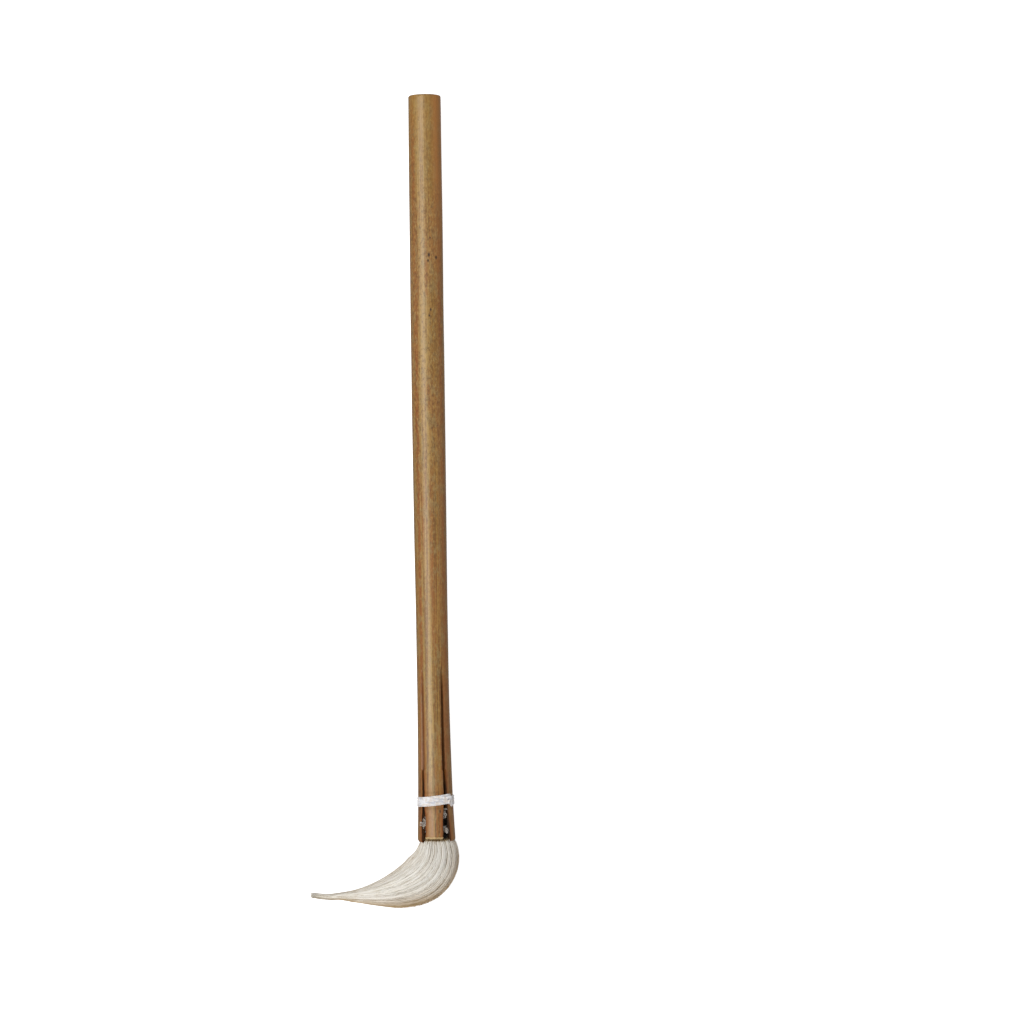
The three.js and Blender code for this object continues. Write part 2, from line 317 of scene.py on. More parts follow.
def makeBambooSkin():
    look = bambooSkinLook
    material, tree, shader = newMaterial("bambooSkin", {
        "Roughness": 0.4, "Specular IOR Level": 0.5, "Coat Weight": 0.25, "Coat Roughness": 0.3})
    place = brushCoordinates(tree)
    height = partOf(tree, place, "Y")
    fibres = useGroup(tree, fibreGroup, {"Vector": place, "Across": 1.0, "Run": 0.014})
    wideFibres = useGroup(tree, fibreGroup, {"Vector": place, "Across": 0.55, "Run": 0.007})
    fine = mapRange(tree, fibres["Fine"], 0.36, 0.66)
    middle = mapRange(tree, fibres["Middle"], 0.36, 0.64)
    # Broad patches of honey, rosy brown and grey that drift along the culm.
    drift = stretched(tree, place, (0.2, 0.035, 0.2))
    patches = noiseValue(tree, drift, 1.0, 4.0, 0.6)
    colour = mixColour(tree, mapRange(tree, patches, 0.38, 0.6), look["rosy"], look["body"])

    def tint(share, shade):
        nonlocal colour
        colour = mixColour(tree, share, colour, look[shade])

    tint(times(tree, mapRange(tree, wideFibres["Broad"], 0.45, 0.62), 0.8), "honey")
    # The streaks are plainest in the lower half, and the upper half is blotched.
    lowest = mapRange(tree, height, 25.0, 8.0, 0.0, 0.35)
    lower = plus(tree, mapRange(tree, height, 130.0, 50.0, 0.55, 1.0), lowest)
    darkStreak = times(tree, mapRange(tree, fibres["Middle"], 0.5, 0.38), times(tree, lower, 0.7))
    tint(darkStreak, "shadow")
    lightStreak = times(tree, mapRange(tree, wideFibres["Middle"], 0.52, 0.64), times(tree, lower, 0.6))
    tint(lightStreak, "light")
    rustStreak = times(tree, mapRange(tree, wideFibres["Fine"], 0.54, 0.66), times(tree, lower, 0.7))
    tint(rustStreak, "rust")
    # Two rusty bands run the length of the culm, one down each flank.
    sideX = partOf(tree, place, "X")
    fromBand = maths(tree, "ABSOLUTE", minus(tree, maths(tree, "ABSOLUTE", sideX), 3.3))
    band = times(tree, mapRange(tree, fromBand, 0.9, 0.1), mapRange(tree, patches, 0.4, 0.56, 0.3, 0.85))
    tint(band, "rust")
    # A pale band just left of the top is a painted highlight: the long key light's broad gloss, painted into
    # the skin's colour.
    fromPaintedHighlight = maths(tree, "ABSOLUTE", plus(tree, sideX, 1.2))
    paintedHighlightReach = mapRange(tree, patches, 0.4, 0.58, 0.9, 2.1)
    pale = times(tree, mapRange(tree, maths(tree, "DIVIDE", fromPaintedHighlight, paintedHighlightReach), 1.0, 0.3),
                 mapRange(tree, fibres["Middle"], 0.42, 0.56, 0.2, 0.75))
    tint(pale, "light")
    fineDark = times(tree, mapRange(tree, fibres["Fine"], 0.5, 0.36), 0.3)
    tint(fineDark, "shadow")
    blotches = stretched(tree, place, (1.0, 0.45, 1.0))
    cloud = noiseValue(tree, blotches, 0.62, 6.0, 0.72)
    greyShare = times(tree, mapRange(tree, cloud, 0.49, 0.6), 0.55)
    tint(greyShare, "grey")
    mottle = noiseValue(tree, blotches, 2.1, 4.0, 0.7)
    mottled = mapRange(tree, height, 60.0, 120.0, 0.36, 0.62)
    tint(times(tree, mapRange(tree, mottle, 0.5, 0.36), mottled), "shadow")
    tint(times(tree, mapRange(tree, mottle, 0.52, 0.66), mottled), "light")
    # The lowest part is redder.
    redFibres = mapRange(tree, fibres["Middle"], 0.42, 0.58, 0.0, 0.6)
    redder = times(tree, mapRange(tree, height, 22.0, 4.0), redFibres)
    tint(redder, "rust")
    # The cut top has bleached to a yellower shade than the rest, and its right side is rusty.
    bleached = mapRange(tree, fibres["Broad"], 0.4, 0.55, 0.2, 0.7)
    topShare = times(tree, mapRange(tree, height, 160.0, 201.0), bleached)
    rustSide = times(tree, mapRange(tree, sideX, 1.2, 3.2), mapRange(tree, height, 140.0, 185.0, 0.2, 0.75))
    rustSide = times(tree, rustSide, mapRange(tree, patches, 0.38, 0.55, 0.5, 1.0))
    tint(topShare, "honey")
    tint(rustSide, "amber")
    # Pores and small dark flecks.
    pores = noiseValue(tree, place, 4.2, 2.0, 0.7)
    poreMask = times(tree, mapRange(tree, pores, 0.6, 0.72), 0.4)
    tint(poreMask, "shadow")
    flecks = useGroup(tree, fleckGroup, {"Vector": place, "Scale": 0.5, "Size": 0.07, "Share": 0.2})
    marks = flecks["Mask"]
    for x, y, radius in look["blemishes"]:
        z = math.sqrt(max(0.0, 4.5 ** 2 - x * x))
        spotPlace = (x + bowAt(y), y, z)
        spot = useGroup(tree, blemishGroup, {"Vector": place, "Place": spotPlace, "Radius": radius})
        marks = maths(tree, "MAXIMUM", marks, spot["Mask"])
    tint(times(tree, marks, 0.9), "fleck")
    # The skin beside the slits has reddened, and dark brown lines them: partly dirt and old ink, partly
    # painted shade in the slits and their grooves.
    redness = carried(tree, "slitRedness")
    redShare = times(tree, redness, mapRange(tree, fibres["Middle"], 0.35, 0.6, 0.3, 1.0))
    tint(redShare, "rust")
    dirtAndShade = carried(tree, "slitDirtAndShade")
    dirtAndShadeShare = times(tree, dirtAndShade, mapRange(tree, fibres["Fine"], 0.3, 0.6, 0.7, 1.0))
    tint(dirtAndShadeShare, "dirtAndShade")
    tree.links.new(colour, shader.inputs["Base Color"])
    rough = plus(tree, times(tree, fine, 0.12), 0.33)
    rough = plus(tree, rough, times(tree, maths(tree, "MAXIMUM", marks, dirtAndShade), 0.4))
    unmarked = minus(tree, 1.0, dirtAndShade)
    tree.links.new(times(tree, unmarked, 0.25), shader.inputs["Coat Weight"])
    tree.links.new(plus(tree, times(tree, unmarked, 0.4), 0.1), shader.inputs["Specular IOR Level"])
    tree.links.new(rough, shader.inputs["Roughness"])
    ridges = plus(tree, times(tree, fine, 0.35), middle)
    relief = minus(tree, ridges, times(tree, marks, 2.5))
    relief = minus(tree, relief, times(tree, poreMask, 0.8))
    addBump(tree, shader, relief, 0.022, 0.7)
    return material


bambooFleshLook = {"pale": srgb(194, 167, 121), "straw": srgb(164, 132, 86), "fibre": srgb(96, 66, 36)}


# Cut bamboo: pale wood with the dark ends of its fibres.
def makeBambooFlesh():
    look = bambooFleshLook
    material, tree, shader = newMaterial("bambooFlesh", {"Roughness": 0.75, "Specular IOR Level": 0.3})
    place = brushCoordinates(tree)
    grain = useGroup(tree, fibreGroup, {"Vector": place, "Across": 0.9, "Run": 0.1})
    colour = mixColour(tree, mapRange(tree, grain["Middle"], 0.35, 0.65), look["pale"], look["straw"])
    dots = stretched(tree, place, (1.0, 0.08, 1.0))
    ends = useGroup(tree, fleckGroup, {"Vector": dots, "Scale": 2.6, "Size": 0.3, "Share": 0.75})
    colour = mixColour(tree, times(tree, ends["Mask"], 0.7), colour, look["fibre"])
    tree.links.new(colour, shader.inputs["Base Color"])
    relief = plus(tree, grain["Fine"], times(tree, ends["Mask"], -0.6))
    addBump(tree, shader, relief, 0.05)
    return material


bambooInsideLook = {
    "brown": srgb(92, 60, 34),
    "dark": srgb(30, 19, 11),
    "pale": srgb(128, 92, 54),
    "rust": srgb(136, 80, 28),
}


# The slits' torn walls and the bore: brown, dry and fibrous.
def makeBambooInside():
    look = bambooInsideLook
    material, tree, shader = newMaterial("bambooInside", {"Roughness": 0.85, "Specular IOR Level": 0.25})
    place = brushCoordinates(tree)
    fibres = useGroup(tree, fibreGroup, {"Vector": place, "Across": 1.2, "Run": 0.05})
    colour = mixColour(tree, mapRange(tree, fibres["Middle"], 0.4, 0.62), look["dark"], look["brown"])
    paleShare = times(tree, mapRange(tree, fibres["Fine"], 0.55, 0.7), 0.5)
    colour = mixColour(tree, paleShare, colour, look["pale"])
    height = partOf(tree, place, "Y")
    redness = carried(tree, "slitRedness")
    rusty = times(tree, redness, mapRange(tree, height, 13.0, 19.0))
    colour = mixColour(tree, rusty, colour, look["rust"])
    tree.links.new(colour, shader.inputs["Base Color"])
    addBump(tree, shader, fibres["Fine"], 0.06)
    return material


cottonLook = {
    "white": srgb(240, 240, 243),
    "cream": srgb(230, 222, 216),
    "grey": srgb(166, 170, 184),
    "soiled": srgb(168, 146, 112),
}


def makeCotton(name, soiling):
    look = cottonLook
    material, tree, shader = newMaterial(name, {
        "Roughness": 0.9, "Specular IOR Level": 0.2, "Sheen Weight": 0.35, "Sheen Roughness": 0.5})
    place = brushCoordinates(tree)
    lint = noiseValue(tree, place, 7.0, 4.0)
    patches = noiseValue(tree, place, 0.9, 3.0)
    # Thin grey streaks on the thread are painted shade between its turns.
    along = stretched(tree, place, (0.5, 2.4, 0.5))
    lines = noiseValue(tree, along, 1.0, 3.0)
    colour = mixColour(tree, mapRange(tree, patches, 0.42, 0.6), look["white"], look["cream"])
    colour = mixColour(tree, times(tree, mapRange(tree, lines, 0.5, 0.62), 0.5), colour, look["grey"])
    soiled = mapRange(tree, lint, 0.35, 0.65, soiling * 0.3, soiling)
    colour = mixColour(tree, soiled, colour, look["soiled"])
    tree.links.new(colour, shader.inputs["Base Color"])
    addBump(tree, shader, lint, 0.03)
    return material


hairLook = {
    "white": srgb(252, 249, 242),
    "cream": srgb(232, 225, 210),
    "shade": srgb(152, 126, 88),
    # The next near black is painted shade on the hair inside the mouth.
    "darkening": srgb(17, 11, 8),
    "tan": srgb(182, 146, 84),
}


# Goat hair. Each hair carries its own tone, which holds painted shade where the hair lies deep or inside the
# mouth, and tan where the tuft has yellowed or lies in painted shade at its edges.
def makeHair(name, darker=0.0):
    look = hairLook
    material, tree, shader = newMaterial(name, {"Roughness": 0.48, "Specular IOR Level": 0.35})
    tone = carried(tree, "tone")
    tan = carried(tree, "yellowingAndShade")
    place = brushCoordinates(tree)
    drift = noiseValue(tree, place, 0.55, 3.0)
    moved = plus(tree, tone, times(tree, minus(tree, drift, 0.5), 0.5))
    colour = addRamp(tree, moved, [(0.1, look["shade"]), (0.45, look["cream"]), (0.85, look["white"])])
    # The tan share is partly yellowed hair and partly painted shade at the tuft's edges.
    colour = mixColour(tree, tan, colour, look["tan"])
    # Inside the mouth the hair is painted near black, as painted shade in the socket.
    colour = mixColour(tree, mapRange(tree, tone, -0.5, -1.5), colour, look["darkening"])
    colour = mixColour(tree, darker, colour, look["shade"])
    tree.links.new(colour, shader.inputs["Base Color"])
    return material


resinLook = {"amber": srgb(74, 42, 20), "black": srgb(22, 13, 8)}


# Dark resin, clear enough at thin places to look brown.
def makeResin():
    finish = {"Roughness": 0.3, "Coat Weight": 0.4, "Coat Roughness": 0.15}
    material, tree, shader = newMaterial("rootResin", finish)
    place = brushCoordinates(tree)
    clouds = noiseValue(tree, place, 0.8, 3.0)
    colour = mixColour(tree, mapRange(tree, clouds, 0.4, 0.65), resinLook["black"], resinLook["amber"])
    tree.links.new(colour, shader.inputs["Base Color"])
    addBump(tree, shader, clouds, 0.1)
    return material


boundRootLook = {"darkening": srgb(20, 13, 9), "dry": srgb(70, 52, 36)}


# Hair at the root, coloured near black with dark brown fibres.
def makeBoundRoot():
    material, tree, shader = newMaterial("darkRootHair", {"Roughness": 0.5})
    place = brushCoordinates(tree)
    fibres = useGroup(tree, fibreGroup, {"Vector": place, "Across": 1.6, "Run": 0.12})
    look = boundRootLook
    colour = mixColour(tree, mapRange(tree, fibres["Fine"], 0.5, 0.72), look["darkening"], look["dry"])
    tree.links.new(colour, shader.inputs["Base Color"])
    addBump(tree, shader, fibres["Fine"], 0.05)
    return material


# The handle's shape, as the CAD handle has it, with the small faults of a real culm.
handle = {
    "culmRadius": 4.42,
    "waistDrop": 0.12,
    "waistHeight": 55,
    "waistReach": 35,
    "mouthFlare": 0.6,
    "flareHeight": 45,
    "flarePower": 2.2,
    "boreRadius": 1.9,
    "mouthWall": 1.0,
    "innerWall": 1.15,
    "socketDepth": 13,
    "reamLength": 7,
    "topRounding": 0.5,
    "bevelHeight": 0.65,
    "bevelDepth": 0.42,
    "bow": 0.38,
    "splitThrough": 19,
    "grooveDepths": (0.5, 0.2),
    "skinFrom": 3.9,  # points further out than this move with the skin where it is torn or sunk
    "innerSkin": 3.6,  # and those further out than this with its flutes and swellings
    "columns": 96,
    "fineStep": 0.3,
    "fineTo": 50,
    "coarseStep": 1.1,
}

# Slits in the order of their azimuth, which is zero at the top and grows towards +x. Each width is given
# with the height that it is measured at.
# Each slit's dark lining in its groove, partly dirt and partly painted shade, is scaled by its own share.
slits = [
    {"azimuth": 36, "grooveDarkness": 1.0, "height": 47,
     "widths": [(0, 2.4), (5, 2.0), (8.5, 1.35), (11, 1.05), (20, 0.8), (30, 0.6), (45, 0.42)]},
    {"azimuth": 107, "grooveDarkness": 0.6, "height": 40,
     "widths": [(0, 1.3), (5, 1.0), (11, 0.5), (25, 0.3), (36, 0.2)]},
    {"azimuth": 178, "grooveDarkness": 0.6, "height": 44,
     "widths": [(0, 1.0), (5, 0.75), (11, 0.4), (25, 0.25), (40, 0.15)]},
    {"azimuth": 247, "grooveDarkness": 0.6, "height": 38,
     "widths": [(0, 1.2), (5, 0.9), (11, 0.45), (25, 0.25), (34, 0.15)]},
    {"azimuth": 317.5, "grooveDarkness": 0.6, "height": 46,
     "widths": [(0, 1.15), (5, 1.35), (9, 0.75), (14, 0.62), (26, 0.6), (44, 0.42)]},
]

# One stave after each slit: how much further down it reaches, and how far it stands out at the mouth.
staves = [
    {"reach": 0.5, "stand": 0.1},
    {"reach": 0.1, "stand": 0.1},
    {"reach": -0.1, "stand": 0.1},
    {"reach": 0.6, "stand": 0.2},
    {"reach": -0.3, "stand": 0.0},
]


def outerRadius(height):
    flare = max(0.0, 1 - height / handle["flareHeight"]) ** handle["flarePower"]
    waist = math.exp(-(((height - handle["waistHeight"]) / handle["waistReach"]) ** 2))
    return handle["culmRadius"] - handle["waistDrop"] * waist + handle["mouthFlare"] * flare


def socketRadius(height):
    atMouth = outerRadius(0) - handle["mouthWall"]
    inside = outerRadius(handle["socketDepth"]) - handle["innerWall"]
    return mix(atMouth, inside, height / handle["socketDepth"])


# A real culm is never quite straight: this one leans out a little to the left between its ends.
def bowAt(height):
    share = min(1.0, max(0.0, height / handleLength))
    return -handle["bow"] * math.sin(math.pi * share ** 0.65)


def slitWidth(slit, height):
    heights, widths = zip(*slit["widths"], (slit["height"], 0.04))
    return float(np.interp(height, heights, widths))


# A split wanders a little to either side.
def slitAzimuth(slit, height):
    return slit["azimuth"] + 0.9 * noiseAt(slit["azimuth"], height * 0.09, 3.7)


# Above the socket a split is a groove in the skin, which grows shallower towards its end.
def grooveDepth(slit, height):
    if height < handle["splitThrough"] or height > slit["height"]:
        return 0.0
    deep, shallow = handle["grooveDepths"]
    return mix(deep, shallow, (height - handle["splitThrough"]) / (slit["height"] - handle["splitThrough"]))


def innerWallRadius(height):
    if height <= handle["socketDepth"]:
        return socketRadius(height)
    share = min(1.0, (height - handle["socketDepth"]) / handle["reamLength"])
    return mix(socketRadius(handle["socketDepth"]), handle["boreRadius"], share)


def skinRadius(height):
    bevel = max(0.0, 1 - height / handle["bevelHeight"])
    return outerRadius(height) - handle["bevelDepth"] * bevel ** 1.3


# Heights of the culm's rings: close together where it is split, wider above.
def ringHeights():
    heights = [0.0, 0.2, 0.4, 0.6, 0.8]
    while heights[-1] < handle["fineTo"]:
        heights.append(heights[-1] + handle["fineStep"])
    return heights


def culmOutline():
    fine = ringHeights()
    outline = [(skinRadius(height), height) for height in fine]
    top = handleLength - handle["topRounding"]
    rings = round((top - fine[-1]) / handle["coarseStep"])
    outline += [(outerRadius(h), h) for h in np.linspace(fine[-1], top, rings + 1)[1:]]
    for turn in (0.35, 0.7, 1.0):
        angle = turn * math.pi / 2
        inset = handle["topRounding"] * (1 - math.cos(angle))
        outline.append((outerRadius(handleLength) - inset, top + handle["topRounding"] * math.sin(angle)))
    outline.append((3.0, handleLength))
    outline.append((handle["boreRadius"] + 0.08, handleLength))
    outline += [(handle["boreRadius"], h) for h in np.linspace(handleLength - 0.1, fine[-1], 14)[:-1]]
    outline += [(innerWallRadius(height), height) for height in reversed(fine)]
    return outline


def outwardAt(angle):
    return Vector((math.sin(angle), 0, math.cos(angle)))


def fromAxis(point):
    return math.hypot(point.x, point.z)


def azimuthOf(point):
    return math.degrees(math.atan2(point.x, point.z)) % 360


def angleBetween(a, b):
    return (a - b + 180) % 360 - 180


# Moves the rings' points sideways so that one column of faces lies where each slit will be.
def openSlitColumns(bm, columnStep):
    reach = 12
    for vert in bm.verts:
        height = vert.co.y
        radius = fromAxis(vert.co)
        azimuth = azimuthOf(vert.co)
        for slit in slits:
            column = (math.floor(slit["azimuth"] / columnStep) + 0.5) * columnStep
            offset = angleBetween(azimuth, column)
            if abs(offset) > reach or height > slit["height"] + 6:
                continue
            fade = 1 - smoothStep(height, slit["height"], slit["height"] + 6)
            half = math.degrees(max(0.02, slitWidth(slit, height) / 2) / max(radius, 3.2))
            shift = slitAzimuth(slit, height) - column
            share = max(0.0, (abs(offset) - columnStep / 2) / (reach - columnStep / 2))
            moved = math.copysign(mix(half, reach, share), offset) + shift * (1 - share)
            target = column + mix(offset, moved, fade)
            vert.co.x = radius * math.sin(math.radians(target))
            vert.co.z = radius * math.cos(math.radians(target))
            break


def slitOf(face):
    centre = face.calc_center_median()
    azimuth = azimuthOf(centre)
    for slit in slits:
        half = math.degrees(max(0.1, slitWidth(slit, centre.y)) / 2 / fromAxis(centre))
        offset = abs(angleBetween(azimuth, slitAzimuth(slit, centre.y)))
        if centre.y < handle["splitThrough"] and offset < half * 0.6:
            return slit
    return None


# The torn walls of one slit, between the edges that it left in the skin and in the bore.
def wallSlit(bm, slit, openEdges):
    for sign in (-1, 1):
        chain = []
        for edge in openEdges:
            middle = (edge.verts[0].co + edge.verts[1].co) / 2
            offset = angleBetween(azimuthOf(middle), slit["azimuth"])
            steep = abs(edge.verts[0].co.y - edge.verts[1].co.y) > 0.05
            if steep and abs(offset) < 15 and offset * sign > -0.2 and math.copysign(1, offset) == sign:
                chain.append(edge)
        bmesh.ops.bridge_loops(bm, edges=chain)


def staveAt(azimuth):
    for index, slit in enumerate(slits):
        following = slits[(index + 1) % len(slits)]["azimuth"]
        span = (following - slit["azimuth"]) % 360
        if (azimuth - slit["azimuth"]) % 360 < span:
            return staves[index]
    return staves[0]


# Ragged slit edges, staves that stand and reach unevenly, shallow flutes and the bow.
def weather(bm):
    for vert in bm.verts:
        azimuth = azimuthOf(vert.co)
        height = vert.co.y
        radius = fromAxis(vert.co)
        outward = Vector((vert.co.x, 0, vert.co.z)).normalized()
        across = Vector((outward.z, 0, -outward.x))
        stave = staveAt(azimuth)
        nearMouth = max(0.0, 1 - height / 14) ** 2
        for slit in slits:
            offset = angleBetween(azimuth, slitAzimuth(slit, height))
            if abs(offset) < 14 and height < slit["height"]:
                distance = abs(math.radians(offset)) * radius - slitWidth(slit, height) / 2
                edgeShare = max(0.0, 1 - max(0.0, distance) / 0.35)
                sign = math.copysign(1, offset)
                tear = noiseAt(slit["azimuth"] + sign, height * 0.8, radius * 0.6)
                tear += 0.5 * noiseAt(slit["azimuth"] - sign, height * 2.6, radius)
                size = 0.06 + 0.12 * max(0.0, 1 - height / 12)
                vert.co += across * sign * edgeShare * size * tear * min(1.0, (slit["height"] - height) / 4)
                sink = 0.12 * edgeShare * max(0.0, noiseAt(height * 0.7, sign * 4, slit["azimuth"]))
                vert.co -= outward * sink * (radius > handle["skinFrom"])
                sunk = max(0.0, 1 - max(0.0, distance - 0.03) / 0.1)
                vert.co -= outward * grooveDepth(slit, height) * sunk * (radius > handle["skinFrom"])
        flute = 0.03 * noiseAt(outward.x * 5, height * 0.012, outward.z * 5)
        swell = 0.05 * noiseAt(outward.x * 0.8, height * 0.045, outward.z * 0.8)
        swell += 0.09 * math.sin(math.pi * min(1.0, max(0.0, (height - 60) / 140)))
        vert.co += outward * (flute + swell) * (radius > handle["innerSkin"])
        vert.co += outward * stave["stand"] * nearMouth
        vert.co.y -= stave["reach"] * nearMouth
        if height < 0.7:
            vert.co.y += 0.1 * noiseAt(outward.x * 6, 0, outward.z * 6)
        vert.co.x += bowAt(height)


def makeHandle():
    bm = spunBody(culmOutline(), handle["columns"], closed=True)
    columnStep = 360 / handle["columns"]
    # The outline is at azimuth 90, which is a whole number of columns from the top.
    openSlitColumns(bm, columnStep)
    bm.faces.ensure_lookup_table()
    cut = [(face, slitOf(face)) for face in bm.faces]
    bmesh.ops.delete(bm, geom=[face for face, slit in cut if slit], context="FACES")
    for slit in slits:
        wallSlit(bm, slit, [edge for edge in bm.edges if edge.is_boundary])
    left = [edge for edge in bm.edges if edge.is_boundary]
    bmesh.ops.holes_fill(bm, edges=left, sides=8)
    bmesh.ops.recalc_face_normals(bm, faces=bm.faces)
    print("handle: open edges left", sum(edge.is_boundary for edge in bm.edges))
    for face in bm.faces:
        centre = face.calc_center_median()
        radius = fromAxis(centre)
        radial = abs(face.normal.dot(Vector((centre.x, 0, centre.z)).normalized()))
        outside = radius > outerRadius(centre.y) - 0.04 or (centre.y > handleLength - 1 and radius > 4.0)
        ends = centre.y > handleLength - 0.05 or centre.y < handle["bevelHeight"] - 0.02
        atMouth = centre.y < handle["bevelHeight"]
        freshCut = centre.y > 1 or staveAt(azimuthOf(centre)) is staves[4]
        face.material_index = 0 if outside and radial > 0.5 else (1 if ends and radius > 2 else 2)
        if atMouth and not freshCut and radius > handle["innerSkin"]:
            face.material_index = 0
        face.smooth = True
    # Per point: the dark brown lining of the slits, partly dirt and partly painted shade, and the skin's
    # reddening beside them.
    dirtAndShadeLayer = bm.verts.layers.float.new("slitDirtAndShade")
    rednessLayer = bm.verts.layers.float.new("slitRedness")
    for vert in bm.verts:
        azimuth = azimuthOf(vert.co)
        radius = fromAxis(vert.co)
        dirtAndShade = redness = 0.0
        for slit in slits:
            if vert.co.y > slit["height"] + 3:
                continue
            offset = abs(math.radians(angleBetween(azimuth, slitAzimuth(slit, vert.co.y)))) * radius
            away = max(0.0, offset - slitWidth(slit, vert.co.y) / 2)
            fade = 1 - smoothStep(vert.co.y, slit["height"] - 7, slit["height"] + 3)
            # Near the mouth every slit takes the full dark lining; higher up each takes its own share.
            darkening = mix(1.0, slit["grooveDarkness"], smoothStep(vert.co.y, 14, 22))
            dirtAndShade = max(dirtAndShade, math.exp(-away / 0.12) * fade * darkening)
            redness = max(redness, 0.9 * math.exp(-((away - 0.15) / 0.45) ** 2) * fade)
        # Painted shade darkens the skin just above and below the binding.
        below, above = abs(vert.co.y - 8.6), abs(vert.co.y - 12.9)
        dirtAndShade = max(dirtAndShade, 0.3 * math.exp(-below / 0.4), 0.3 * math.exp(-above / 0.3))
        vert[dirtAndShadeLayer] = dirtAndShade
        vert[rednessLayer] = redness
    for edge in bm.edges:
        if len(edge.link_faces) == 2 and edge.calc_face_angle(0) > 0.75:
            edge.smooth = False
    weather(bm)
    layDown(bm)
    mesh = meshFrom(bm, "bambooHandle", smooth=False)
    materials = [bambooSkin, bambooFlesh, bambooInside]
    return finishPiece("bambooHandle", mesh, materials, ["bamboo_handle"])


bambooSkin = makeBambooSkin()
bambooFlesh = makeBambooFlesh()
bambooInside = makeBambooInside()
bindingCotton = makeCotton("bindingCotton", 0.12)
tieCotton = makeCotton("tieCotton", 0.8)
coverHairLook = makeHair("coverGoatHair")
coreHairLook = makeHair("coreGoatHair", 0.15)
rootResin = makeResin()
darkRootHair = makeBoundRoot()
print("materials made")
handlePiece = makeHandle()
print("handle made:", len(handlePiece.data.polygons), "faces")


def spreadOver(values, count):
    return np.broadcast_to(np.asarray(values, float), count).copy()


# Many thin tubes as one mesh. Each is (points, radii, tone, tan share), with a number for each point or one
# for all. The tan share is partly yellowed hair and partly painted shade.
def tubeMesh(tubes, sides):
    section = bpy.data.curves.new("tubeSection", "CURVE")
    ring = section.splines.new("POLY")
    ring.points.add(sides - 1)
    for index, point in enumerate(ring.points):
        angle = math.tau * index / sides
        point.co = (math.cos(angle), math.sin(angle), 0, 1)
    ring.use_cyclic_u = True
    sectionObject = addObject("tubeSection", section)
    lines = bpy.data.curves.new("tubeLines", "CURVE")
    lines.dimensions = "3D"
    lines.bevel_mode = "OBJECT"
    lines.bevel_object = sectionObject
    lines.twist_mode = "MINIMUM"
    for points, radii, *_ in tubes:
        spline = lines.splines.new("POLY")
        spline.points.add(len(points) - 1)
        flat = np.ones((len(points), 4))
        flat[:, :3] = points
        spline.points.foreach_set("co", flat.ravel())
        spline.points.foreach_set("radius", spreadOver(radii, len(points)))
    linesObject = addObject("tubeLines", lines)
    bpy.context.view_layer.update()
    evaluated = linesObject.evaluated_get(bpy.context.evaluated_depsgraph_get())
    mesh = bpy.data.meshes.new_from_object(evaluated)
    for object_, curve in ((linesObject, lines), (sectionObject, section)):
        bpy.data.objects.remove(object_)
        bpy.data.curves.remove(curve)
    for name, place in (("tone", 2), ("yellowingAndShade", 3)):
        values = [np.repeat(spreadOver(tube[place], len(tube[0])), sides) for tube in tubes]
        attribute = mesh.attributes.new(name, "FLOAT", "POINT")
        attribute.data.foreach_set("value", np.concatenate(values).astype(np.float32))
    bm = bmesh.new()
    bm.from_mesh(mesh)
    bmesh.ops.holes_fill(bm, edges=[edge for edge in bm.edges if edge.is_boundary], sides=sides)
    bmesh.ops.recalc_face_normals(bm, faces=bm.faces)
    layDown(bm)
    bm.to_mesh(mesh)
    bm.free()
    mesh.shade_smooth()
    return mesh


# Plies of a twisted thread that follows a path of points, with some lint standing off it.
def twistedThread(path, thread, rng):
    path = np.asarray(path, float)
    steps = np.linalg.norm(np.diff(path, axis=0), axis=1)
    reach = np.concatenate([[0], np.cumsum(steps)])
    count = max(8, int(reach[-1] / thread["step"]))
    even = np.linspace(0, reach[-1], count)
    middle = np.stack([np.interp(even, reach, path[:, axis]) for axis in range(3)], 1)
    tangent = np.gradient(middle, axis=0)
    tangent /= np.linalg.norm(tangent, axis=1)[:, None]
    outward = middle * np.array([1, 0, 1]) - np.array([bowAt(thread["height"]), 0, 0])
    outward /= np.maximum(np.linalg.norm(outward, axis=1)[:, None], 1e-6)
    outward -= tangent * (outward * tangent).sum(1)[:, None]
    outward /= np.linalg.norm(outward, axis=1)[:, None]
    across = np.cross(tangent, outward)
    tubes = []
    for ply in range(thread["plies"]):
        turn = math.tau * (ply / thread["plies"] + even / thread["twist"])
        spread = thread["spread"] * (1 + 0.12 * np.sin(even * 1.7 + ply))
        line = middle + (np.cos(turn) * spread)[:, None] * outward * thread["flat"]
        line += (np.sin(turn) * spread)[:, None] * across
        radii = thread["plyRadius"] * (1 + 0.08 * np.sin(even * 5.3 + ply * 2))
        tubes.append((line, radii, 0.8, 0.0))
    for _ in range(int(reach[-1] * thread["lint"])):
        at = rng.randrange(2, count - 2)
        start = Vector(middle[at]) + Vector(outward[at]) * thread["spread"] * 1.2
        drift = Vector(tangent[at]) * rng.uniform(-1, 1) + Vector(across[at]) * rng.uniform(-1, 1)
        lift = Vector(outward[at])
        length = rng.uniform(0.25, 0.8)
        lint = []
        for share in (0, 0.3, 0.6, 1):
            lint.append(start + drift * length * share * 0.9 + lift * length * 0.45 * math.sin(share * 2.6))
        tubes.append((lint, [0.014, 0.012, 0.01, 0.005], 0.9, 0.0))
    return tubes


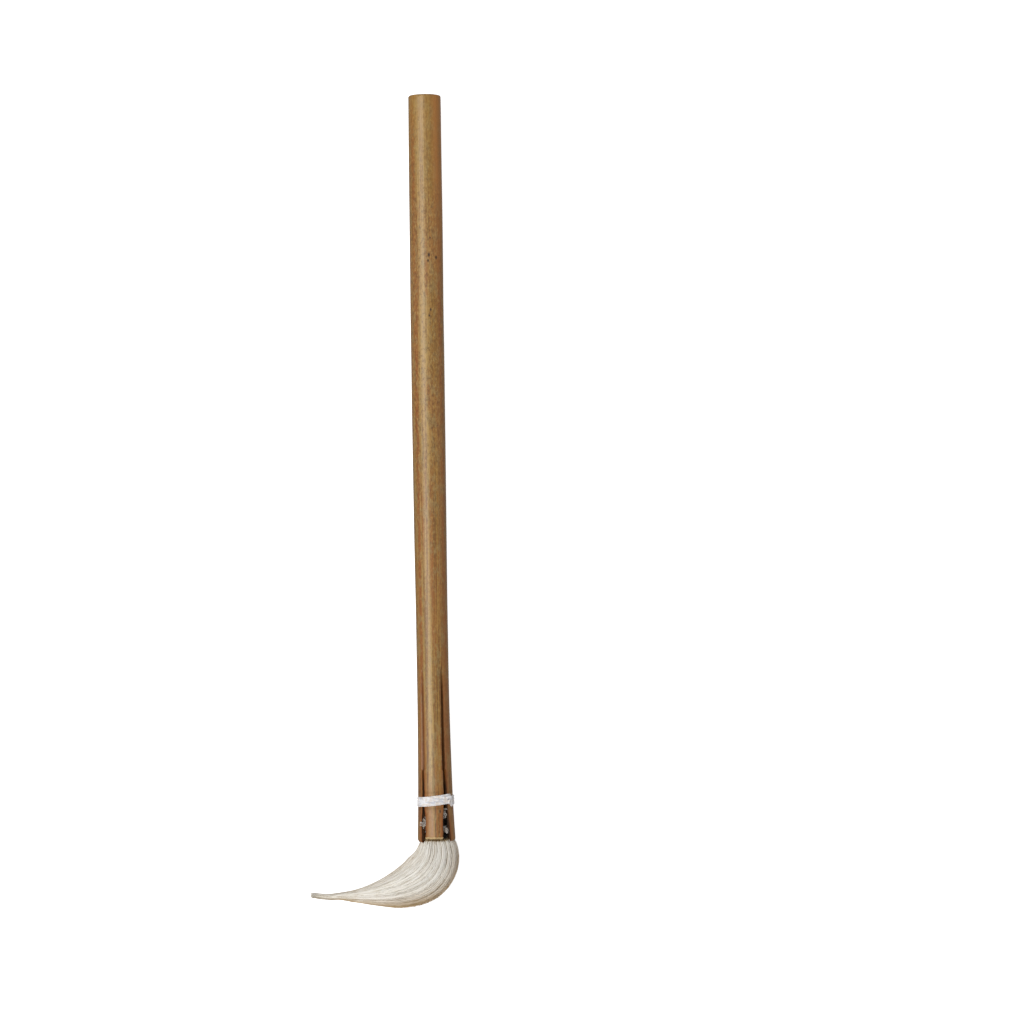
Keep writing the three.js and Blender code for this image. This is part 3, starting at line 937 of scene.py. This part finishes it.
# Points of a thread wound round the handle's axis on what lies under it.
def windingPath(winding, radiusUnder):
    points = []
    count = int(winding["turns"] * 40)
    for index in range(count + 1):
        share = index / count
        angle = math.radians(winding["endAzimuth"]) - (1 - share) * winding["turns"] * math.tau
        level = winding["height"] + (share - 0.5) * winding["turns"] * winding["pitch"]
        outward = outwardAt(angle)
        climb = outward.x * radiusUnder(level) * math.tan(math.radians(winding["tilt"]))
        slack = 0.04 * noiseAt(outward.x * 2, level * 3, outward.z * 2)
        radius = radiusUnder(level + climb) + winding["lift"] + slack
        points.append(outward * radius + Vector((bowAt(winding["height"]), level + climb, 0)))
    return points


binding = {
    "height": 10.5, "turns": 4.0, "pitch": 0.63, "tilt": 4.4, "endAzimuth": 58, "lift": 0.04,
    "plies": 4, "plyRadius": 0.165, "spread": 0.24, "flat": 0.4, "twist": 2.6, "step": 0.12, "lint": 0.8,
}

# The hitch at the end of the binding, as (azimuth, height above the binding, distance out from the staves).
bindingHitch = [
    (38, 0.2, 0.1), (43, 0.6, 0.25), (49, 0.8, 0.42), (55, 0.6, 0.48), (58, 0.1, 0.42), (56, -0.5, 0.35),
    (50, -0.8, 0.35), (45, -0.5, 0.5), (47, 0.0, 0.6), (52, 0.2, 0.62), (57, -0.2, 0.5), (60, -0.8, 0.3),
    (61, -1.3, 0.2),
]


def aroundHandle(azimuth, height, out):
    angle = math.radians(azimuth)
    outward = outwardAt(angle)
    climb = outward.x * outerRadius(height) * math.tan(math.radians(binding["tilt"]))
    return outward * (outerRadius(height + climb) + out) + Vector((bowAt(height), height + climb, 0))


def smoothPath(points, perSpan=8):
    path = []
    for index in range(len(points) - 1):
        before = points[max(0, index - 1)]
        a, b = points[index], points[index + 1]
        after = points[min(len(points) - 1, index + 2)]
        path += geometry.interpolate_bezier(a, a + (b - before) / 6, b - (after - a) / 6, b, perSpan + 1)[:-1]
    return path + [points[-1]]


def makeBinding():
    rng = random.Random(11)
    tubes = twistedThread(windingPath(binding, outerRadius), binding, rng)
    hitch = [aroundHandle(azimuth, binding["height"] + up, out) for azimuth, up, out in bindingHitch]
    tubes += twistedThread(smoothPath(hitch), binding, rng)
    # The cut end frays into single yarns.
    end = hitch[-1]
    for _ in range(18):
        spread = Vector((rng.uniform(-0.2, 0.5), -rng.uniform(0.2, 0.7), rng.uniform(-0.2, 0.3)))
        middle = end + spread * 0.55 + Vector((rng.uniform(-0.1, 0.1), 0.05, 0.05))
        tubes.append(([end, middle, end + spread], [0.03, 0.025, 0.012], 0.9, 0.0))
    mesh = tubeMesh(tubes, 7)
    return finishPiece("bindingThread", mesh, [bindingCotton], ["binding_thread"])


# The bound root of the hair, and the two ties round it.
root = {"start": 0.35, "length": 8.9, "tieThread": 0.65, "seat": 0.1, "waist": 0.25, "hairs": 150}
lowerTie = {
    "height": 2.75, "turns": 1.6, "pitch": 0.7, "tilt": 3, "endAzimuth": 60, "lift": 0.4,
    "plies": 3, "plyRadius": 0.19, "spread": 0.18, "flat": 0.9, "twist": 1.6, "step": 0.12, "lint": 2.5,
}
upperTie = {
    "height": 7.25, "turns": 3.9, "pitch": 0.72, "tilt": -3, "endAzimuth": 200, "lift": 0.4,
    "plies": 2, "plyRadius": 0.19, "spread": 0.17, "flat": 0.95, "twist": 1.3, "step": 0.12, "lint": 2.5,
}


def rootRadius(height):
    pull = math.exp(-((height - lowerTie["height"]) ** 2))
    return socketRadius(height) - 2 * root["seat"] - root["tieThread"] - root["waist"] * pull


def makeRoot():
    rng = random.Random(5)
    heights = np.linspace(root["start"], root["start"] + root["length"], 40)
    outline = [(0, heights[0])] + [(rootRadius(h) - 0.08, h) for h in heights] + [(0, heights[-1])]
    bm = spunBody(outline, 60)
    bmesh.ops.recalc_face_normals(bm, faces=bm.faces)
    for vert in bm.verts:
        outward = Vector((vert.co.x, 0, vert.co.z))
        vert.co += outward * 0.03 * noiseAt(outward.x * 3, vert.co.y * 0.2, outward.z * 3)
        vert.co.x += bowAt(vert.co.y)
    layDown(bm)
    finishPiece("hairRootCore", meshFrom(bm, "hairRootCore"), [darkRootHair], ["hair_root"])
    tubes = []
    for _ in range(root["hairs"]):
        angle = rng.uniform(0, math.tau)
        lean = rng.uniform(-0.15, 0.15)
        out = rng.uniform(-0.04, 0.05)
        line = []
        for height in np.linspace(heights[0] + rng.uniform(0, 0.3), heights[-1] - rng.uniform(0, 0.8), 14):
            turn = angle + lean * (height - heights[0]) / root["length"]
            radius = rootRadius(height) + out
            line.append(Vector((radius * math.sin(turn) + bowAt(height), height, radius * math.cos(turn))))
        tubes.append((line, rng.uniform(0.035, 0.06), 0.3, 0.4))
    return finishPiece("hairRootStrands", tubeMesh(tubes, 4), [darkRootHair], ["hair_root"])


# Curls of single yarn that stand out of a slit.
def looseYarn(rng, azimuth, height, count, spread, reaches):
    curls = []
    for _ in range(count):
        angle = math.radians(azimuth + rng.uniform(-6, 6))
        level = height + rng.uniform(-spread, spread)
        outward = outwardAt(angle)
        across = Vector((math.cos(angle), 0, -math.sin(angle)))
        start, reach = rootRadius(level) + 0.1, rng.uniform(*reaches)
        curl, phase = rng.uniform(0.15, 0.36), rng.uniform(0, math.tau)
        turns = rng.uniform(4.5, 6.5)
        line = []
        for share in np.linspace(0, 1, 12):
            swing = phase + share * turns
            point = outward * (start + reach * math.sin(share * 2.2))
            point += across * curl * math.sin(swing)
            point += Vector((bowAt(level), level + curl * math.cos(swing), 0))
            line.append(point + Vector((0, -share * 0.4, 0)))
        curls.append((line, [rng.uniform(0.04, 0.065)] * 11 + [0.015], 0.9, 0.0))
    return curls


def makeTies():
    rng = random.Random(7)
    lower = twistedThread(windingPath(lowerTie, rootRadius), lowerTie, rng)
    lower += looseYarn(rng, 42, 2.7, 22, 0.5, (1.2, 1.7))
    finishPiece("lowerRootTie", tubeMesh(lower, 6), [tieCotton], ["lower_root_tie"])
    upper = twistedThread(windingPath(upperTie, rootRadius), upperTie, rng)
    # Loose yarn of the tie curls out through the left slit, and a little through the right one.
    upper += looseYarn(rng, 316, 4.8, 16, 1.2, (1.2, 1.9))
    upper += looseYarn(rng, 309, 4.7, 9, 0.5, (1.7, 2.3))
    upper += looseYarn(rng, 36, 7.2, 10, 1.2, (1.0, 1.6))
    return finishPiece("upperRootTie", tubeMesh(upper, 6), [tieCotton], ["upper_root_tie"])


seal = {"gap": 0.15, "thickness": 1.6, "inset": 0.15}


def makeSeal():
    bottom = root["start"] + root["length"] + seal["gap"]
    radius = rootRadius(bottom) - seal["inset"]
    outline = [(0, bottom), (radius * 0.96, bottom)]
    for turn in np.linspace(0, 1, 12):
        angle = turn * math.pi / 2
        outline.append((radius * math.cos(angle), bottom + seal["thickness"] * (0.3 + 0.7 * math.sin(angle))))
    bm = spunBody(outline, 48)
    bmesh.ops.recalc_face_normals(bm, faces=bm.faces)
    for vert in bm.verts:
        drip = noiseAt(vert.co.x * 0.6, vert.co.y * 0.5, vert.co.z * 0.6)
        vert.co += Vector((vert.co.x, 0, vert.co.z)) * 0.05 * drip
        vert.co.x += bowAt(vert.co.y)
    layDown(bm)
    return finishPiece("rootSeal", meshFrom(bm, "rootSeal"), [rootResin], ["root_seal"])


makeBinding()
makeRoot()
makeTies()
makeSeal()
print("threads and root made")

# The tuft. Its middle line leaves the mouth straight down and sweeps to the left. Widths are (distance along
# the line, half the width in the plane it bends in, half the thickness across that plane).
tuft = {
    "line": [(0, -0.6), (1.7, -11.4), (-10.1, -16.6), (-35.2, -14.75)],
    "widths": [
        (-3, 2.9, 2.9), (-0.4, 3.3, 3.3), (0.3, 4.3, 4.2), (1.2, 5.1, 4.6), (3.4, 5.85, 5.0),
        (6, 6.35, 5.2), (9, 6.65, 5.25), (12, 6.6, 5.1), (15.5, 6.0, 4.8), (20.4, 4.75, 4.2),
        (25.2, 3.15, 2.9), (30, 1.85, 1.8), (35, 0.86, 0.9), (38.5, 0.58, 0.6), (41, 0.52, 0.52),
        (43.5, 0.5, 0.5),
    ],
    "locks": 86,
    "coverHairs": 5400,
    "coreHairs": 900,
    "strayHairs": 60,
    "hairRadius": 0.05,
    "floorClearance": 5.36,
}


class TuftShape:
    def __init__(self):
        knots = [Vector((x, y, 0)) for x, y in tuft["line"]]
        bent = geometry.interpolate_bezier(knots[0], knots[1], knots[2], knots[3], 400)
        line = [Vector((0, 3 - 0.05 * step, 0)) for step in range(72)] + bent
        line = np.array([tuple(point) for point in line])
        reach = np.concatenate([[0], np.cumsum(np.linalg.norm(np.diff(line, axis=0), axis=1))])
        self.reach = reach - 3  # zero at the mouth
        self.line = line
        tangent = np.gradient(line, self.reach, axis=0)
        self.tangent = tangent / np.linalg.norm(tangent, axis=1)[:, None]
        at, wide, thick = np.array(tuft["widths"]).T
        self.length = at[-1]
        self.fine = np.linspace(at[0], at[-1], 900)
        kernel = np.hanning(25)
        kernel /= kernel.sum()
        self.wide = np.convolve(np.pad(np.interp(self.fine, at, wide), 12, "edge"), kernel, "valid")
        self.thick = np.convolve(np.pad(np.interp(self.fine, at, thick), 12, "edge"), kernel, "valid")

    # A point at a distance along the tuft, an angle round it and a share of the way out to its surface.
    def point(self, along, angle, out):
        along = np.asarray(along, float)
        middle = np.stack([np.interp(along, self.reach, self.line[:, k]) for k in range(3)], -1)
        tangent = np.stack([np.interp(along, self.reach, self.tangent[:, k]) for k in range(3)], -1)
        across = np.stack([-tangent[..., 1], tangent[..., 0], np.zeros_like(along)], -1)
        # The slim tip is a little wavy.
        wave = 0.16 * np.sin((along - 28) * 0.75) * np.interp(along, [28, 33, 41], [0, 0.6, 1])
        wide = np.interp(along, self.fine, self.wide) * out
        thick = np.interp(along, self.fine, self.thick) * out
        points = middle + across * (wave + wide * np.cos(angle))[..., None]
        points[..., 2] += thick * np.sin(angle)
        points[..., 2] = np.maximum(points[..., 2], -tuft["floorClearance"])
        return points


shape = TuftShape()


def perimeterAt(along):
    wide, thick = np.interp(along, shape.fine, shape.wide), np.interp(along, shape.fine, shape.thick)
    return math.tau * np.sqrt((wide ** 2 + thick ** 2) / 2)


# Shallow valleys between the locks.
def lockRelief(angle, along, locks):
    turned = [(angle - lock["angle"] + math.pi) % math.tau - math.pi for lock in locks]
    offset = np.min([np.abs(turn) / lock["half"] for turn, lock in zip(turned, locks)], 0)
    depth = np.interp(along, [0, 3, 14, 26, 32], [0.01, 0.06, 0.1, 0.11, 0.03])
    return 1 - depth * np.clip(offset, 0, 1) ** 2


def makeLocks(rng):
    locks = []
    for index in range(tuft["locks"]):
        half = math.pi / tuft["locks"]
        angle = (index + rng.uniform(-0.35, 0.35)) * 2 * half
        locks.append({
            "angle": angle,
            "half": half * rng.uniform(0.8, 1.25),
            "lift": rng.uniform(-0.045, 0.03),
            "tone": rng.uniform(-0.12, 0.12),
            "sway": rng.uniform(-0.04, 0.04),
            "phase": rng.uniform(0, 6),
        })
    return locks


# Tan hair: the outer side of the bend towards the floor, and the slim tip. It is partly yellowed hair and
# partly painted shade along the tuft's edges.
def yellowingAndShade(along, angle):
    outerSide = np.clip(np.cos(angle) * 1.15 - 0.15, 0, 1) ** np.interp(along, [5, 15], [4, 1.6])
    innerSide = np.clip(-np.cos(angle), 0, 1) ** 5
    reach = np.interp(along, [0.5, 4, 14, 27, 36, 42], [0.15, 0.6, 1.0, 0.9, 0.7, 0.5])
    return (0.85 * outerSide + 0.3 * innerSide) * reach + 0.03


def makeTuftBody(locks):
    bm = bmesh.new()
    toneLayer = bm.verts.layers.float.new("tone")
    tanLayer = bm.verts.layers.float.new("yellowingAndShade")
    around, rings = 120, 150
    ends = np.linspace(-2.5, shape.length - 0.9, rings)
    first = bmesh.ops.create_circle(bm, segments=around, radius=1, cap_ends=True)["verts"]
    stages = [list(first)]
    edges = [edge for edge in bm.edges]
    for _ in ends[1:]:
        grown = bmesh.ops.extrude_edge_only(bm, edges=edges)["geom"]
        edges = [item for item in grown if isinstance(item, bmesh.types.BMEdge)
                 and all(vert in grown for vert in item.verts) and len(item.link_faces) == 1]
        stages.append([item for item in grown if isinstance(item, bmesh.types.BMVert)])
    bmesh.ops.holes_fill(bm, edges=edges, sides=0)
    for along, ring in zip(ends, stages):
        for vert in ring:
            angle = math.atan2(vert.co.y, vert.co.x)
            relief = float(lockRelief(angle, along, locks))
            out = 0.93 * relief * mix(1.0, 0.8, smoothStep(along, 28, 34))
            out *= math.sqrt(max(0.02, 1 - max(0.0, along - ends[-1] + 0.6) / 0.6))
            grain = 0.012 * noiseAt(math.cos(angle) * 9, along * 0.1, math.sin(angle) * 9)
            # The body's tone is painted near black inside the mouth and darker in the valleys between the
            # locks: painted shade.
            vert[toneLayer] = mix(-2.0, 0.3 + 2.5 * (relief - 0.95), smoothStep(along, -0.3, 0.5))
            vert[tanLayer] = float(yellowingAndShade(along, angle)) + 0.1
            vert.co = Vector(shape.point(along, angle, out + grain))
    bmesh.ops.recalc_face_normals(bm, faces=bm.faces)
    layDown(bm)
    return meshFrom(bm, "tuftBody")


def bendWithTuft(piece):
    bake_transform(piece)


def hairLine(rng, begin, end, angle, out, lock, clump, drift, steps=17):
    share = np.linspace(0, 1, steps) ** 1.5  # closer together at the root
    along = begin + (end - begin) * share
    gather = np.interp(along, [2, 30], [0, 1]) * clump
    turn = lock["angle"] + (angle - lock["angle"]) * (1 - gather)
    turn = turn + lock["sway"] * np.sin(along * 0.16 + lock["phase"]) * np.interp(along, [0, 8], [0, 1])
    turn = turn + drift * np.interp(along, [1, 30], [0, 1])
    wave = 0.012 * np.sin(along * rng.uniform(0.25, 0.6) + rng.uniform(0, 6))
    return shape.point(along, turn, out + wave), along, turn


# Hairs end where the tuft narrows, so that the rest still fit round it.
def survivingEnd(rng):
    belly = 10
    spots = np.linspace(belly, shape.length, 120)
    alive = np.minimum.accumulate(perimeterAt(spots) / perimeterAt(belly))
    return float(np.interp(-rng.uniform(0.0, 1.0), -alive, spots))


def makeCover(locks):
    rng = random.Random(21)
    batches = [[], [], []]
    for index in range(tuft["coverHairs"]):
        lock = locks[rng.randrange(len(locks))]
        spread = max(-1.3, min(1.3, rng.gauss(0, 0.36)))
        angle = lock["angle"] + spread * lock["half"]
        deep = abs(rng.gauss(0, 0.022))
        out = 1.0 - 0.05 * spread ** 2 + lock["lift"] * 0.7 - deep
        end = min(shape.length - rng.uniform(0.9, 2.5), survivingEnd(rng) + rng.uniform(-1, 3))
        begin = rng.uniform(-2.2, -1.2)
        drift = rng.gauss(0, 0.03) if rng.random() < 0.88 else rng.gauss(0, 0.2)
        line, along, turn = hairLine(rng, begin, end, angle, out, lock, rng.uniform(0.1, 0.6), drift)
        tip = np.clip((end - along) / 5, 0.12, 1)
        radii = tuft["hairRadius"] * rng.uniform(0.75, 1.3) * tip
        # Hairs that lie deep, spread to a lock's edge or in a sunk lock get a darker tone: painted shade
        # between the locks.
        tone = 0.9 + lock["tone"] + rng.gauss(0, 0.13) - 0.3 * spread ** 2 - 11 * deep + lock["lift"] * 2
        if rng.random() < 0.12:
            tone -= 0.45
        # Inside the mouth the tone drops far, painting the hair near black as painted shade in the socket,
        # and the slim tip is a little darker, also painted shade.
        tone = np.maximum(tone, 0.1) + np.interp(along, [-0.1, 0.4, 29, 33], [-2.5, 0, 0, -0.22])
        # The outer side of the bend is darkened further: painted shade.
        tone = tone - 0.3 * np.clip(np.cos(turn), 0, 1) ** 2 * np.interp(along, [8, 16], [0, 1])
        batches[index % 3].append((line, radii, tone, yellowingAndShade(along, turn)))
    return batches


def makeCore():
    rng = random.Random(33)
    tubes = []
    for _ in range(tuft["coreHairs"]):
        angle = rng.uniform(0, math.tau)
        lock = {"angle": angle, "sway": rng.uniform(-0.2, 0.2), "phase": rng.uniform(0, 6)}
        begin = rng.uniform(17, 22)
        wisp = 1 if rng.random() < 0.55 else -1
        out = rng.uniform(0.35, 0.98)
        end = shape.length - abs(rng.gauss(0, 1.0)) - 0.9 * out ** 3
        line, along, turn = hairLine(rng, begin, end, angle, out, lock, 0, rng.gauss(0, 0.5), 15)
        apart = np.interp(along, [28, 31, 36, 41], [0, 0.1, 0.16, 0.3]) * wisp
        line = line + np.stack([np.zeros_like(apart), apart, np.zeros_like(apart)], -1)
        tip = np.clip((end - along) / 4, 0.15, 1)
        # The wisps part along a grey-brown line of painted shade.
        partingShade = np.interp(along, [27, 30, 36, 40], [0, 1, 1, 0.2]) * (0.75 if rng.random() < 0.5 else 0.2)
        tone = 0.78 + rng.gauss(0, 0.14) + 0.08 * wisp - partingShade
        radii = 0.05 * rng.uniform(0.7, 1.2) * tip
        tubes.append((line, radii, tone, yellowingAndShade(along, turn) * (0.9 if wisp < 0 else 0.4)))
    # A few hairs have sprung clear of the tuft.
    for _ in range(tuft["strayHairs"]):
        angle = rng.gauss(0.2, 0.9) if rng.random() < 0.6 else rng.uniform(0, math.tau)
        lock = {"angle": angle, "sway": rng.uniform(-0.1, 0.1), "phase": rng.uniform(0, 6)}
        begin, end = rng.uniform(0.5, 12), rng.uniform(14, 36)
        line, along, turn = hairLine(rng, begin, end, angle, 1.0, lock, 0, rng.gauss(0, 0.2))
        rise = np.sin(np.clip((along - begin) / (end - begin), 0, 1) ** 1.5 * 2.4) * rng.uniform(0.01, 0.05)
        line = shape.point(along, turn, 1.0 + rise)
        tubes.append((line, 0.035 * np.clip((end - along) / 4, 0.2, 1), 0.75, yellowingAndShade(along, turn)))
    return tubes


def finishHair(name, mesh, look, replaced):
    piece = finishPiece(name, mesh, [look], [replaced], body=None)
    bendWithTuft(piece)


def makeTuft():
    locks = makeLocks(random.Random(3))
    finishHair("tuftBody", makeTuftBody(locks), coverHairLook, "cover_hair")
    for number, tubes in enumerate(makeCover(locks), 1):
        finishHair(f"coverHair{number}", tubeMesh(tubes, 3), coverHairLook, "cover_hair")
    finishHair("coreHair", tubeMesh(makeCore(), 3), coreHairLook, "core_hair")


makeTuft()
print("tuft made")

# A white table and one long soft light from the left. The table is bright to the camera and dull to
# everything else, so that it doesn't light the brush from below.
studio = {
    "floorSize": 3.0, "floorTone": 0.9, "floorGlow": 0.75, "floorBounce": 0.3, "skyStrength": 0.56,
    "keyWidth": 0.55, "keyLength": 1.5, "keyLean": 27, "keyDistance": 1.1, "keyEnergy": 9.5,
}


def makeFloor():
    bm = bmesh.new()
    bmesh.ops.create_grid(bm, x_segments=1, y_segments=1, size=studio["floorSize"] / 2)
    mesh = meshFrom(bm, "whiteTable", smooth=False)
    floor = addObject("whiteTable", mesh)
    material, tree, shader = newMaterial("whitePaper", {
        "Roughness": 0.9, "Specular IOR Level": 0.0, "Emission Color": (1, 1, 1, 1)})
    seen = addNode(tree, "ShaderNodeLightPath").outputs["Is Camera Ray"]
    tone, bounce = studio["floorTone"], studio["floorBounce"]
    paper = mixColour(tree, seen, (bounce, bounce, bounce, 1), (tone, tone, tone, 1))
    tree.links.new(paper, shader.inputs["Base Color"])
    tree.links.new(times(tree, seen, studio["floorGlow"]), shader.inputs["Emission Strength"])
    mesh.materials.append(material)


def makeLights():
    world = bpy.data.worlds.new("softRoom")
    bpy.context.scene.world = world
    world.use_nodes = True
    background = world.node_tree.nodes["Background"]
    background.inputs["Color"].default_value = (1, 1, 1, 1)
    background.inputs["Strength"].default_value = studio["skyStrength"]
    data = bpy.data.lights.new("keyLight", "AREA")
    data.shape = "RECTANGLE"
    data.size, data.size_y = studio["keyWidth"], studio["keyLength"]
    data.energy = studio["keyEnergy"]
    light = addObject("keyLight", data)
    lean = math.radians(studio["keyLean"])
    middle = mouthPoint + alongHandle * 0.08
    light.location = middle + Vector((-math.sin(lean), 0, math.cos(lean))) * studio["keyDistance"]
    light.rotation_euler = (0, -lean, 0)


# The camera looks straight down at the table. The picture's middle is to the right of the handle.
camera = {"right": 21.86, "up": 88.22, "distance": 950, "seen": 277.5, "sensor": 36, "lean": 0.97}


def makeCamera():
    data = bpy.data.cameras.new("camera")
    data.sensor_width = camera["sensor"]
    data.lens = camera["sensor"] * camera["distance"] / camera["seen"]
    data.clip_start = 0.01
    viewer = addObject("camera", data)
    place = mouthPoint + sideways * camera["right"] * mm + alongHandle * camera["up"] * mm
    viewer.location = place + Vector((0, 0, camera["distance"] * mm))
    viewer.rotation_euler = (0, 0, -math.radians(camera["lean"]))
    bpy.context.scene.camera = viewer


makeFloor()
makeLights()
makeCamera()
bpy.context.scene.view_settings.view_transform = "Standard"
print("studio made")
